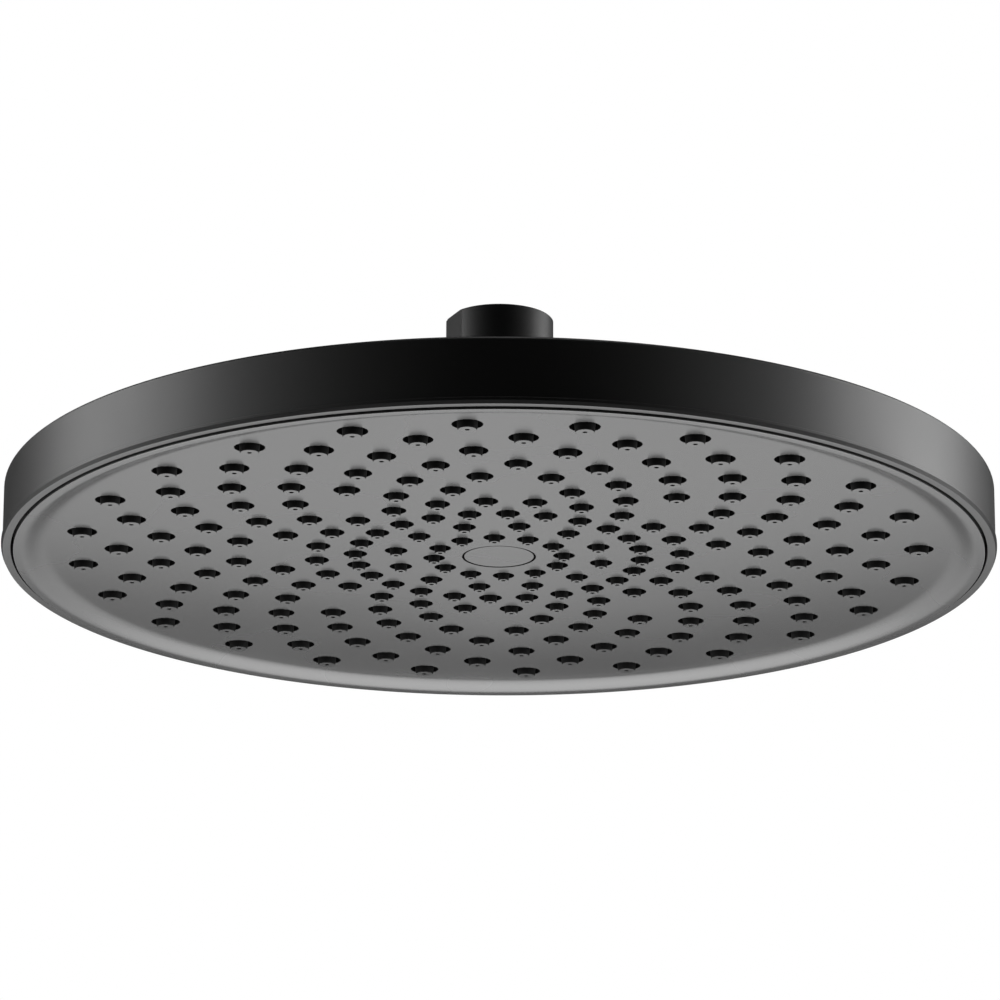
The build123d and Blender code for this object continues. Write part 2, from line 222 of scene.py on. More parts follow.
# %% Outline and lathe helpers
def soften(corners, arc_steps=6, hold=0.25):
    """Outline points from (radius, height, rounding) corners, in millimetres."""
    points = []
    count = len(corners)
    for index, (radius, height, rounding) in enumerate(corners):
        here = Vector((radius, height))
        before = Vector(corners[index - 1][:2]) - here
        after = Vector(corners[(index + 1) % count][:2]) - here
        if rounding == 0 or before.length == 0 or after.length == 0:
            points.append((here.x, here.y))
            continue
        before.normalize()
        after.normalize()
        half = acos(max(-1.0, min(1.0, before.dot(after)))) / 2
        middle = here + (before + after).normalized() * (rounding / sin(half))
        reach = rounding / tan(half)
        start = here + before * reach
        end = here + after * reach
        points.append(tuple(start + before * rounding * hold))
        first = atan2(start.y - middle.y, start.x - middle.x)
        sweep = atan2(end.y - middle.y, end.x - middle.x) - first
        sweep = (sweep + pi) % (2 * pi) - pi
        for step in range(arc_steps + 1):
            angle = first + sweep * step / arc_steps
            points.append((middle.x + rounding * cos(angle), middle.y + rounding * sin(angle)))
        points.append(tuple(end + after * rounding * hold))
    return points


def arc(centre, radius, first, last, steps):
    """Outline points on an arc, with angles in degrees from the radial direction."""
    angles = [radians(first + (last - first) * step / steps) for step in range(steps + 1)]
    return [(centre[0] + radius * cos(angle), centre[1] + radius * sin(angle)) for angle in angles]


def turned(name, outlines, steps, closed=True, start=0.0, whole_caps=False):
    """Object whose outlines, in millimetres, are swept about the Z axis."""
    shape = bmesh.new()
    angles = [radians(start) + 2 * pi * step / steps for step in range(steps)]
    for outline in outlines:
        rings = []
        for radius, height in outline:
            spots = angles if radius > 0 else angles[:1]
            rings.append(
                [shape.verts.new((radius * MM * cos(a), radius * MM * sin(a), height * MM)) for a in spots]
            )
        pairs = list(zip(rings, rings[1:] + rings[:1]))
        for low, high in pairs if closed else pairs[:-1]:
            if len(low) == len(high) == 1:
                continue
            if whole_caps and 1 in (len(low), len(high)):
                shape.faces.new(low if len(high) == 1 else high)
                continue
            for n in range(steps):
                m = (n + 1) % steps
                around = (low[n % len(low)], high[n % len(high)], high[m % len(high)], low[m % len(low)])
                shape.faces.new(list(dict.fromkeys(around)))
    loose = [vertex for vertex in shape.verts if not vertex.link_faces]
    bmesh.ops.delete(shape, geom=loose, context="VERTS")
    if closed:
        bmesh.ops.recalc_face_normals(shape, faces=shape.faces)
    mesh = bpy.data.meshes.new(name)
    shape.to_mesh(mesh)
    shape.free()
    made = bpy.data.objects.new(name, mesh)
    bpy.context.scene.collection.objects.link(made)
    return made


def shade(piece, sharp_degrees, material=None):
    """Smooth shading that breaks at corners sharper than the angle, and one finish if it is given."""
    if material:
        piece.data.materials.clear()
        piece.data.materials.append(material)
    piece.data.shade_smooth()
    piece.data.set_sharp_from_angle(angle=radians(sharp_degrees))
    return piece


def seat(piece, body, slot, *stands_for):
    """The piece rides on a body and stands for solids of the model; the slot argument is not used."""
    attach(piece, body)
    if stands_for:
        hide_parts(*stands_for)
    print(piece.name, "faces:", len(piece.data.polygons), "rides on", body)


# %% [markdown]
# ## The casing
# The casing is one thin shell: a short side wall with a narrow, bevelled lip at its open edge, a
# rounded shoulder, and a very shallow cone up to the flat round the ball joint. It is spun or
# pressed from sheet on the real object. A single skin with a thickness modifier could stand for
# it, but that would leave out the step of the lip, so the outline has an inside as well.

# %% Casing
lip_z, lip_r, lip_height, bevel, bevel_height = -64.7, 125.7, 1.6, 0.45, 0.9
wall_r, wall_top_z, wall = 125.35, -48.05, 2.1
hub_r, hub_z, neck_hole_r = 26.517, -42.55, 15.517
rim_steps = 224
casing_outline = soften(
    [
        (wall_r - wall, lip_z, 0.15),
        (lip_r - bevel, lip_z, 0.12),
        (lip_r, lip_z + bevel_height, 0.5),
        (lip_r, lip_z + lip_height, 0.1),
        (wall_r, lip_z + lip_height, 0.1),
        (wall_r, wall_top_z, 0.9),
        (hub_r, hub_z, 12.0),
        (neck_hole_r, hub_z, 0.15),
        (neck_hole_r, hub_z - wall, 0.15),
        (hub_r, hub_z - wall, 8.0),
        (wall_r - wall, wall_top_z - wall, 0.6),
    ]
)
casing = turned("casing", [casing_outline], rim_steps)
seat(shade(casing, sharp_degrees=25, material=satin_black), "head", "black_metal", "back_cover")

# %% [markdown]
# ## Where the nozzles stand
# The spray pattern follows a rule: ten rings at an even pitch, twelve nozzles in each of the two
# inner rings and twenty-four slots in the others, every other ring turned by half a slot, and
# every third slot of the fifth ring left empty. A list of 208 places would hide that rule, so
# Geometry Nodes work the places out from the number of each point. The holes of the face and
# the nozzles themselves both use this group, so they always line up.

# %% Nozzle places group
def maths(tree, operation, first, second=0.0):
    """One Math node, and its result."""
    node = tree.nodes.new("ShaderNodeMath")
    node.operation = operation
    wire(tree, first, node.inputs[0])
    wire(tree, second, node.inputs[1])
    return node.outputs[0]


def named_inputs(tree, *inputs):
    """Inputs of a group, each from its name, kind and first value."""
    for name, kind, value in inputs:
        socket = tree.interface.new_socket(name=name, in_out="INPUT", socket_type="NodeSocket" + kind)
        if value is not None:
            socket.default_value = value
    return tree.nodes.new("NodeGroupInput").outputs


def nozzle_places_group():
    """Geometry group that puts one point at each nozzle, and tells each point its ring."""
    tree = bpy.data.node_groups.new("nozzle places", "GeometryNodeTree")
    given = named_inputs(
        tree,
        ("Rings", "Int", 10),
        ("Slots", "Int", 24),
        ("Half-filled Rings", "Int", 2),
        ("Thinned Ring", "Int", 4),
        ("Thinned Step", "Int", 3),
        ("First Radius", "Float", 16.5 * MM),
        ("Ring Pitch", "Float", 9.95 * MM),
    )
    tree.interface.new_socket(name="Places", in_out="OUTPUT", socket_type="NodeSocketGeometry")
    tree.interface.new_socket(name="Ring", in_out="OUTPUT", socket_type="NodeSocketFloat")
    number = tree.nodes.new("GeometryNodeInputIndex").outputs[0]
    ring = maths(tree, "FLOOR", maths(tree, "DIVIDE", number, given["Slots"]))
    place = maths(tree, "MODULO", number, given["Slots"])
    inner = maths(tree, "LESS_THAN", ring, given["Half-filled Rings"])
    even = maths(tree, "SUBTRACT", 1.0, maths(tree, "MODULO", ring, 2.0))
    half_turned = maths(tree, "MULTIPLY", even, maths(tree, "SUBTRACT", 1.0, inner))
    steps = maths(tree, "ADD", place, maths(tree, "MULTIPLY", half_turned, 0.5))
    angle = maths(tree, "DIVIDE", maths(tree, "MULTIPLY", steps, 2 * pi), given["Slots"])
    outward = maths(tree, "MULTIPLY", ring, given["Ring Pitch"])
    radius = maths(tree, "ADD", given["First Radius"], outward)
    spot = tree.nodes.new("ShaderNodeCombineXYZ")
    wire(tree, maths(tree, "MULTIPLY", radius, maths(tree, "COSINE", angle)), spot.inputs["X"])
    wire(tree, maths(tree, "MULTIPLY", radius, maths(tree, "SINE", angle)), spot.inputs["Y"])
    points = tree.nodes.new("GeometryNodePoints")
    wire(tree, maths(tree, "MULTIPLY", given["Rings"], given["Slots"]), points.inputs["Count"])
    wire(tree, spot.outputs[0], points.inputs["Position"])
    keep = tree.nodes.new("GeometryNodeCaptureAttribute")
    keep.capture_items.new("FLOAT", "Ring")
    wire(tree, points.outputs[0], keep.inputs["Geometry"])
    wire(tree, ring, keep.inputs["Ring"])
    odd_sum = maths(tree, "MODULO", maths(tree, "ADD", place, ring), 2.0)
    skipped = maths(tree, "MULTIPLY", inner, odd_sum)
    thinned = maths(tree, "COMPARE", ring, given["Thinned Ring"])
    third = maths(tree, "LESS_THAN", maths(tree, "MODULO", place, given["Thinned Step"]), 0.5)
    empty = maths(tree, "ADD", skipped, maths(tree, "MULTIPLY", thinned, third))
    drop = tree.nodes.new("GeometryNodeDeleteGeometry")
    drop.domain = "POINT"
    wire(tree, keep.outputs["Geometry"], drop.inputs["Geometry"])
    wire(tree, maths(tree, "GREATER_THAN", empty, 0.5), drop.inputs["Selection"])
    result = tree.nodes.new("NodeGroupOutput")
    wire(tree, drop.outputs[0], result.inputs["Places"])
    wire(tree, keep.outputs["Ring"], result.inputs["Ring"])
    return tree


nozzle_places = nozzle_places_group()
print("nozzle places group has", len(nozzle_places.nodes), "nodes")

# %% [markdown]
# ## Growing shapes with Geometry Nodes
# A tree is put on an object as a modifier, its named inputs are set, and the evaluated result is
# copied into a plain mesh. The modifier and the helper shapes then go, because a finished piece
# has to stand by itself when it is exported.

# %% Modifier helpers
merge_distance = 0.002 * MM


def grow(piece, tree, **values):
    """Run a tree on a piece with these inputs, and leave a plain mesh."""
    modifier = piece.modifiers.new(tree.name, "NODES")
    modifier.node_group = tree
    for item in tree.interface.items_tree:
        key = item.name.lower().replace(" ", "_")
        if item.in_out == "INPUT" and key in values:
            modifier[item.identifier] = values[key]
    piece.data.update()
    ready = piece.evaluated_get(bpy.context.evaluated_depsgraph_get())
    mesh = bpy.data.meshes.new_from_object(ready)
    piece.modifiers.remove(modifier)
    piece.data = mesh
    return piece


def close_up(piece):
    """Merge doubles and turn every face outwards."""
    shape = bmesh.new()
    shape.from_mesh(piece.data)
    bmesh.ops.remove_doubles(shape, verts=shape.verts, dist=merge_distance)
    bmesh.ops.recalc_face_normals(shape, faces=shape.faces)
    open_edges = sum(1 for edge in shape.edges if not edge.is_manifold)
    shape.to_mesh(piece.data)
    shape.free()
    print(piece.name, "open edges:", open_edges)
    return piece


def vectors(tree, operation, first, second=None):
    """One Vector Math node, and its result."""
    node = tree.nodes.new("ShaderNodeVectorMath")
    node.operation = operation
    wire(tree, first, node.inputs[0])
    if second is not None:
        wire(tree, second, node.inputs["Scale" if operation == "SCALE" else 1])
    return node.outputs["Value" if operation == "LENGTH" else "Vector"]


def repeat(tree, places, ring, growth, shape, core=0.0):
    """Nodes that copy a shape to every place, and widen it outside its core from ring to ring."""
    own = tree.nodes.new("GeometryNodeCaptureAttribute")
    own.capture_items.new("VECTOR", "Own Place")
    wire(tree, shape, own.inputs["Geometry"])
    wire(tree, tree.nodes.new("GeometryNodeInputPosition").outputs[0], own.inputs["Own Place"])
    copies = tree.nodes.new("GeometryNodeInstanceOnPoints")
    wire(tree, places, copies.inputs["Points"])
    wire(tree, own.outputs["Geometry"], copies.inputs["Instance"])
    whole = tree.nodes.new("GeometryNodeRealizeInstances")
    wire(tree, copies.outputs[0], whole.inputs[0])
    level = vectors(tree, "MULTIPLY", own.outputs["Own Place"], (1.0, 1.0, 0.0))
    outside = maths(tree, "GREATER_THAN", vectors(tree, "LENGTH", level), core)
    reach = maths(tree, "MULTIPLY", maths(tree, "MULTIPLY", ring, growth), outside)
    widen = tree.nodes.new("GeometryNodeSetPosition")
    wire(tree, whole.outputs[0], widen.inputs["Geometry"])
    wire(tree, vectors(tree, "SCALE", vectors(tree, "NORMALIZE", level), reach), widen.inputs["Offset"])
    return widen.outputs[0]


def joined(tree, *parts):
    """One geometry from several."""
    join = tree.nodes.new("GeometryNodeJoinGeometry")
    for part in parts:
        tree.links.new(part, join.inputs[0])
    return join.outputs[0]


def coated(tree, geometry, material, where=True):
    """Plain geometry in one finish, all of it or only where a rule says so."""
    whole = tree.nodes.new("GeometryNodeRealizeInstances")
    coat = tree.nodes.new("GeometryNodeSetMaterial")
    wire(tree, geometry, whole.inputs[0])
    wire(tree, whole.outputs[0], coat.inputs["Geometry"])
    wire(tree, where, coat.inputs["Selection"])
    wire(tree, material, coat.inputs["Material"])
    return coat.outputs[0]


def finished(tree, geometry):
    """The end of a tree."""
    tree.interface.new_socket(name="Geometry", in_out="OUTPUT", socket_type="NodeSocketGeometry")
    wire(tree, geometry, tree.nodes.new("NodeGroupOutput").inputs[0])


def shape_of(tree, source):
    """The mesh of a helper object, as it stands."""
    info = tree.nodes.new("GeometryNodeObjectInfo")
    wire(tree, source, info.inputs["Object"])
    return info.outputs["Geometry"]


# %% [markdown]
# ## The spray face
# The face is a flat field with 208 round holes, a hollow cove that leads down to a narrow flat
# rim, and a shallow seat in the middle for a cap. Cutting 208 holes with booleans would be slow
# and leave ragged faces. Instead the outlines of the field and of every hole are filled as one
# flat sheet, front and back, and a small turned ring with a fine bevel lines each hole. Little
# light gets into the holes and the seat of the cap, so their walls get painted shade: a
# near-black matt finish, far darker than the face.

# %% Spray face outline
field_r, field_z, back_z = 113.5, -63.25, -60.75
rim_in_r, rim_z, face_r = 121.0, -65.2, 122.65
cap_seat_r, cap_floor_z, boss_r, boss_z = 9.3, -61.99, 8.2, -59.25
screw_well_r, screw_well_z, screw_hole_r = 3.8, -60.49, 2.2
cove_foot, cove_brow, cove_steps = 3.8, 2.4, 18
field_margin, rim_margin, seat_flat = 0.6, 0.3, 0.08


def swept(points, steps):
    """Outline points on a curve that leaves the first point and reaches the last one along guides."""
    spots = []
    for step in range(steps + 1):
        part = step / steps
        shares = ((1 - part) ** 3, 3 * (1 - part) ** 2 * part, 3 * (1 - part) * part**2, part**3)
        spot = [sum(share * point[axis] for share, point in zip(shares, points)) for axis in (0, 1)]
        spots.append(tuple(spot))
    return spots


guides = (
    (field_r, field_z),
    (field_r + cove_foot, field_z),
    (rim_in_r - cove_brow, rim_z),
    (rim_in_r, rim_z),
)
cove = [(field_r - field_margin, field_z)] + swept(guides, cove_steps)
rim_edge = soften(
    [
        (rim_in_r + rim_margin, rim_z, 0),
        (face_r, rim_z, 0.2),
        (face_r, back_z, 0.1),
        (field_r - field_margin, back_z, 0),
    ]
)
seat_edge = soften(
    [
        (cap_seat_r + seat_flat, field_z, 0),
        (cap_seat_r, field_z, 0.04),
        (cap_seat_r, cap_floor_z, 0.1),
        (screw_well_r, cap_floor_z, 0),
        (screw_well_r, screw_well_z, 0),
        (screw_hole_r, screw_well_z, 0),
        (screw_hole_r, boss_z, 0),
        (boss_r, boss_z, 0.1),
        (boss_r, back_z, 0),
    ],
    arc_steps=4,
)
print("cove:", len(cove), "points, drop", round(field_z - rim_z, 2), "mm")

# %% Spray face tree
def spray_face_tree():
    """Tree that adds the holed field between the turned rim and the seat of the cap."""
    tree = bpy.data.node_groups.new("spray face", "GeometryNodeTree")
    given = named_inputs(
        tree,
        ("Turned Rim", "Geometry", None),
        ("Hole Lining", "Object", None),
        ("Cap Seat", "Object", None),
        ("Hole Sides", "Int", 18),
        ("Front Hole Radius", "Float", 2.81 * MM),
        ("Back Hole Radius", "Float", 2.75 * MM),
        ("Growth", "Float", 0.11 * MM),
        ("Field Radius", "Float", 112.9 * MM),
        ("Field Sides", "Int", 224),
        ("Seat Radius", "Float", 9.38 * MM),
        ("Boss Radius", "Float", 8.2 * MM),
        ("Seat Sides", "Int", 64),
        ("Front Level", "Float", -63.25 * MM),
        ("Back Level", "Float", -60.75 * MM),
        ("Finish", "Material", None),
        ("Lining Finish", "Material", None),
    )
    pattern = tree.nodes.new("GeometryNodeGroup")
    pattern.node_tree = nozzle_places
    places, ring = pattern.outputs["Places"], pattern.outputs["Ring"]

    def circle(sides, radius):
        node = tree.nodes.new("GeometryNodeCurvePrimitiveCircle")
        wire(tree, sides, node.inputs["Resolution"])
        wire(tree, radius, node.inputs["Radius"])
        return node.outputs["Curve"]

    def holed_sheet(hole_radius, middle_radius, level):
        hole = circle(given["Hole Sides"], hole_radius)
        holes = repeat(tree, places, ring, given["Growth"], hole)
        edge = circle(given["Field Sides"], given["Field Radius"])
        middle = circle(given["Seat Sides"], middle_radius)
        fill = tree.nodes.new("GeometryNodeFillCurve")
        wire(tree, joined(tree, edge, middle, holes), fill.inputs["Curve"])
        lift = tree.nodes.new("ShaderNodeCombineXYZ")
        wire(tree, level, lift.inputs["Z"])
        move = tree.nodes.new("GeometryNodeTransform")
        wire(tree, fill.outputs["Mesh"], move.inputs["Geometry"])
        wire(tree, lift.outputs[0], move.inputs["Translation"])
        return move.outputs[0]

    front = holed_sheet(given["Front Hole Radius"], given["Seat Radius"], given["Front Level"])
    rear = holed_sheet(given["Back Hole Radius"], given["Boss Radius"], given["Back Level"])
    lining = shape_of(tree, given["Hole Lining"])
    linings = repeat(tree, places, ring, given["Growth"], lining)
    shell = coated(tree, joined(tree, given["Turned Rim"], front, rear), given["Finish"])
    # The hole linings and the seat of the cap take the near-black painted shade.
    hollows = joined(tree, linings, shape_of(tree, given["Cap Seat"]))
    finished(tree, joined(tree, shell, coated(tree, hollows, given["Lining Finish"])))
    return tree


face_tree = spray_face_tree()
print("spray face tree has", len(face_tree.nodes), "nodes")

# %% Spray face
hole_r, hole_growth, hole_edge = 2.75, 0.11, 0.06
hole_sides, seat_sides = 18, 64
lining_outline = [(hole_r + hole_edge, field_z), (hole_r, field_z + hole_edge), (hole_r, back_z)]
lining = turned("hole_lining", [lining_outline], hole_sides, closed=False)
spray_face = turned("spray_face", [cove + rim_edge], rim_steps, closed=False)
cap_seat = turned("turned_seat", [seat_edge], seat_sides, closed=False)
grow(
    spray_face,
    face_tree,
    hole_lining=lining,
    cap_seat=cap_seat,
    hole_sides=hole_sides,
    front_hole_radius=(hole_r + hole_edge) * MM,
    back_hole_radius=hole_r * MM,
    growth=hole_growth * MM,
    field_radius=(field_r - field_margin) * MM,
    field_sides=rim_steps,
    seat_radius=(cap_seat_r + seat_flat) * MM,
    boss_radius=boss_r * MM,
    seat_sides=seat_sides,
    front_level=field_z * MM,
    back_level=back_z * MM,
    finish=face_black,
    lining_finish=hole_black,
)
for helper in (lining, cap_seat):
    bpy.data.objects.remove(helper)
close_up(spray_face)
seat(shade(spray_face, sharp_degrees=32), "head", "black_face", "face_plate")

# %% [markdown]
# ## The nozzle mat
# Behind the face lies one rubber mat, and its nozzles stand through the holes with a clear gap all
# round. Each nozzle is a slightly tapered stub with a bevelled tip and a fine bore. They could be
# They could be modelled one by one, but one nozzle is turned once and copied to the 208 places,
# and the rings further out get wider ones. The tips get a lighter, smoother copy of the rubber as
# painted light, and the sides a near-black copy as painted shade.

# %% Nozzle mat tree
def nozzle_mat_tree():
    """Tree that stands a nozzle at every place of the pattern on the mat."""
    tree = bpy.data.node_groups.new("nozzle mat", "GeometryNodeTree")
    given = named_inputs(
        tree,
        ("Sheet", "Geometry", None),
        ("Nozzle", "Object", None),
        ("Growth", "Float", 0.11 * MM),
        ("Bore Reach", "Float", 0.8 * MM),
        ("Tip Level", "Float", -64.5 * MM),
        ("Finish", "Material", None),
        ("Tip Finish", "Material", None),
    )
    pattern = tree.nodes.new("GeometryNodeGroup")
    pattern.node_tree = nozzle_places
    nozzle = shape_of(tree, given["Nozzle"])
    places, ring = pattern.outputs["Places"], pattern.outputs["Ring"]
    nozzles = repeat(tree, places, ring, given["Growth"], nozzle, given["Bore Reach"])
    spot = tree.nodes.new("ShaderNodeSeparateXYZ")
    wire(tree, tree.nodes.new("GeometryNodeInputPosition").outputs[0], spot.inputs[0])
    on_tip = maths(tree, "LESS_THAN", spot.outputs["Z"], given["Tip Level"])
    rubber = coated(tree, joined(tree, given["Sheet"], nozzles), given["Finish"])
    # The tips get the lighter copy as painted light; the rest keeps the near-black painted shade.
    finished(tree, coated(tree, rubber, given["Tip Finish"], on_tip))
    return tree


mat_tree = nozzle_mat_tree()
print("nozzle mat tree has", len(mat_tree.nodes), "nodes")

# %% Nozzle mat
mat_in_r, mat_back_z, mat_steps = 8.5, -59.25, 128
tip_z, tip_r, tip_bevel, tip_bevel_height, tip_flare = -64.6, 1.36, 0.16, 0.22, 0.015
taper = radians(6.0)
root_z = back_z + 0.3
root_r = tip_r + (back_z - tip_z) * tan(taper)
bore_r, bore_end_r, bore_end_z = 0.6, 0.54, tip_z + 2.0
bore_reach = 0.78
tip_level = tip_z + 0.05
nozzle_sides = 14
nozzle_outline = [
    (0.0, root_z),
    (root_r, root_z),
    (tip_r + tip_flare, tip_z + tip_bevel_height),
    (tip_r - tip_bevel, tip_z),
    (bore_r, tip_z),
    (bore_end_r, bore_end_z),
    (0.0, bore_end_z),
]
nozzle = turned("nozzle", [nozzle_outline], nozzle_sides, whole_caps=True)
sheet_outline = [(mat_in_r, back_z), (field_r, back_z), (field_r, mat_back_z), (mat_in_r, mat_back_z)]
nozzle_mat = turned("nozzle_sheet", [sheet_outline], mat_steps)
grow(
    nozzle_mat,
    mat_tree,
    nozzle=nozzle,
    growth=hole_growth * MM,
    bore_reach=bore_reach * MM,
    tip_level=tip_level * MM,
    finish=nozzle_rubber,
    tip_finish=smooth_tip,
)
print("faces of one nozzle:", len(nozzle.data.polygons))
bpy.data.objects.remove(nozzle)
seat(shade(nozzle_mat, sharp_degrees=38), "head", "nozzle_rubber", "nozzle_mat")

# %% [markdown]
# ## The cap in the middle
# A thin disc covers the screw that holds the face. It lies just behind the field, and only a hair
# line shows round it. A groove in the field could stand for that line, but a real gap shows the
# same from every side. The disc's edge gets a small rounding, and its sides get the same
# near-black painted shade as the seat.

# %% Cap
cap_inset, cap_r, cap_thickness, cap_steps = 0.06, 8.85, 1.1, 96
cap_z = field_z + cap_inset
level_share = 0.99
cap_outline = soften(
    [
        (0.0, cap_z, 0),
        (cap_r, cap_z, 0.06),
        (cap_r, cap_z + cap_thickness, 0.1),
        (0.0, cap_z + cap_thickness, 0),
    ],
    arc_steps=4,
)
cap = turned("cap", [cap_outline], cap_steps)
shade(cap, sharp_degrees=32, material=face_black)
# The sides of the disc get the near-black painted shade; its flat faces keep the finish of the face.
cap.data.materials.append(hole_black)
for face in cap.data.polygons:
    face.material_index = 0 if abs(face.normal.z) > level_share else 1
seat(cap, "head", "black_face", "centre_cap")

# %% [markdown]
# ## The ball connector
# The connector is turned from one bar: a mouth with a half-inch pipe thread, a short cone, a neck
# and the ball that the head swings on. Two wrench flats are milled across its mouth. The flats
# could be cut with a boolean, but it is cleaner to turn the piece with its columns of faces set on
# the edges of the flats, and then to draw the rounded side in to the plane of each flat.

# %% Flats helper
def press_flats(piece, distance, low, high, turn):
    """Draw what stands beyond two parallel planes in towards the axis, between two heights."""
    normal = Vector((cos(radians(turn)), sin(radians(turn)), 0.0))
    pressed = 0
    for vertex in piece.data.vertices:
        beyond = abs(vertex.co.dot(normal)) / (distance * MM)
        if beyond > 1 and low * MM <= vertex.co.z <= high * MM:
            vertex.co = (vertex.co.x / beyond, vertex.co.y / beyond, vertex.co.z)
            pressed += 1
    print(piece.name, "points pressed onto flats:", pressed)
    close_up(piece)


# %% Ball connector
flat_turn = 28.5
mouth_r, mouth_low_z, mouth_edge = 13.75, -15.0, 0.3
flat_distance, flat_low_z, flat_step, press_top_z = 12.85, -11.0, 0.02, 0.1
pipe_bore_r, pipe_bore_z, lead_in_r, lead_in_z = 10.5, -10.0, 11.1, -0.7
washer_seat_r, washer_seat_z, well_r, well_z = 9.9, -12.0, 8.2, -15.5
neck_r, neck_top_z, neck_low_z, water_r = 5.2, -18.5, -20.5, 3.8
ball_z, ball_r, ball_end_angle, ball_steps = -30.1, 10.5, 35.0, 28
connector_steps = 138
ball_start_angle = acos(neck_r / ball_r) * 180 / pi
ball_side = arc((0.0, ball_z), ball_r, ball_start_angle, -ball_end_angle, ball_steps)
outside = soften(
    [
        (water_r, well_z, 0.2),
        (well_r, well_z, 0),
        (well_r, washer_seat_z, 0.2),
        (washer_seat_r, washer_seat_z, 0),
        (washer_seat_r, pipe_bore_z, 0.1),
        (pipe_bore_r, pipe_bore_z, 0),
        (pipe_bore_r, lead_in_z, 0.1),
        (lead_in_r, 0.0, 0.1),
        (mouth_r - mouth_edge, 0.0, 0.12),
        (mouth_r, -mouth_edge, 0.12),
        (mouth_r, flat_low_z + flat_step, 0),
        (mouth_r, flat_low_z, 0),
        (mouth_r, mouth_low_z, 0.5),
        (neck_r, neck_top_z, 0.5),
        (neck_r, neck_low_z, 0),
    ]
)
connector_outline = [(water_r, ball_side[-1][1])] + outside + ball_side
connector = turned("ball_connector", [connector_outline], connector_steps, start=flat_turn)
press_flats(connector, flat_distance, flat_low_z + flat_step / 2, press_top_z, flat_turn)
seat(shade(connector, sharp_degrees=14, material=fitting_black), "inlet", "black_metal", "inlet_ball")

# %% [markdown]
# ## The thread in the mouth
# A pipe thread is one ridge that winds up the wall of the mouth. It follows a path, so a tree of
# Geometry Nodes bends a long, narrow grid into it: one direction of the grid runs along the
# helix, the other round the ridge. The ridge runs out to nothing at both ends, as a cut thread does,
# which a plain screw modifier couldn't do.

# %% Thread tree
def thread_tree():
    """Tree that winds a grid into a ridge on the inside of a bore."""
    tree = bpy.data.node_groups.new("thread ridge", "GeometryNodeTree")
    given = named_inputs(
        tree,
        ("Start", "Geometry", None),
        ("Turns", "Float", 5.0),
        ("Steps", "Int", 480),
        ("Pitch", "Float", 1.814 * MM),
        ("Bore Radius", "Float", 10.5 * MM),
        ("Depth", "Float", 1.1 * MM),
        ("Top Level", "Float", -0.8 * MM),
        ("Base Share", "Float", 0.42),
        ("Crest Narrowing", "Float", 0.72),
        ("Run-out Rate", "Float", 14.0),
        ("Sunk", "Float", 0.05 * MM),
        ("Finish", "Material", None),
    )
    # Rows across the grid: upper base, upper crest, lower crest, lower base, upper base again.
    rows = 5
    grid = tree.nodes.new("GeometryNodeMeshGrid")
    wire(tree, 1.0, grid.inputs["Size X"])
    wire(tree, 1.0, grid.inputs["Size Y"])
    wire(tree, given["Steps"], grid.inputs["Vertices X"])
    wire(tree, rows, grid.inputs["Vertices Y"])
    spot = tree.nodes.new("ShaderNodeSeparateXYZ")
    wire(tree, tree.nodes.new("GeometryNodeInputPosition").outputs[0], spot.inputs[0])
    along = maths(tree, "ADD", spot.outputs["X"], 0.5)
    across = maths(tree, "MULTIPLY", maths(tree, "ADD", spot.outputs["Y"], 0.5), rows - 1.0)
    from_end = maths(tree, "SUBTRACT", 0.5, maths(tree, "ABSOLUTE", maths(tree, "SUBTRACT", along, 0.5)))
    run_out = maths(tree, "MINIMUM", maths(tree, "MULTIPLY", from_end, given["Run-out Rate"]), 1.0)
    on_crest = maths(tree, "COMPARE", maths(tree, "ABSOLUTE", maths(tree, "SUBTRACT", across, 1.5)), 0.5)
    height = maths(tree, "MULTIPLY", maths(tree, "MULTIPLY", given["Depth"], run_out), on_crest)
    inset = maths(tree, "SUBTRACT", given["Bore Radius"], height)
    off_crest = maths(tree, "SUBTRACT", 1.0, on_crest)
    radius = maths(tree, "ADD", inset, maths(tree, "MULTIPLY", off_crest, given["Sunk"]))
    narrowing = maths(tree, "MULTIPLY", on_crest, given["Crest Narrowing"])
    base_width = maths(tree, "MULTIPLY", given["Pitch"], given["Base Share"])
    half_width = maths(tree, "MULTIPLY", base_width, maths(tree, "SUBTRACT", 1.0, narrowing))
    lower = maths(tree, "COMPARE", maths(tree, "ABSOLUTE", maths(tree, "SUBTRACT", across, 2.5)), 0.5)
    direction = maths(tree, "SUBTRACT", 1.0, maths(tree, "MULTIPLY", lower, 2.0))
    offset = maths(tree, "MULTIPLY", maths(tree, "MULTIPLY", half_width, direction), run_out)
    angle = maths(tree, "MULTIPLY", maths(tree, "MULTIPLY", along, given["Turns"]), 2 * pi)
    climb = maths(tree, "MULTIPLY", maths(tree, "MULTIPLY", along, given["Turns"]), given["Pitch"])
    level = maths(tree, "ADD", maths(tree, "SUBTRACT", given["Top Level"], climb), offset)
    wound = tree.nodes.new("ShaderNodeCombineXYZ")
    wire(tree, maths(tree, "MULTIPLY", radius, maths(tree, "COSINE", angle)), wound.inputs["X"])
    wire(tree, maths(tree, "MULTIPLY", radius, maths(tree, "SINE", angle)), wound.inputs["Y"])
    wire(tree, level, wound.inputs["Z"])
    wind = tree.nodes.new("GeometryNodeSetPosition")
    wire(tree, grid.outputs["Mesh"], wind.inputs["Geometry"])
    wire(tree, wound.outputs[0], wind.inputs["Position"])
    finished(tree, coated(tree, wind.outputs[0], given["Finish"]))
    return tree


ridge_tree = thread_tree()
print("thread tree has", len(ridge_tree.nodes), "nodes")

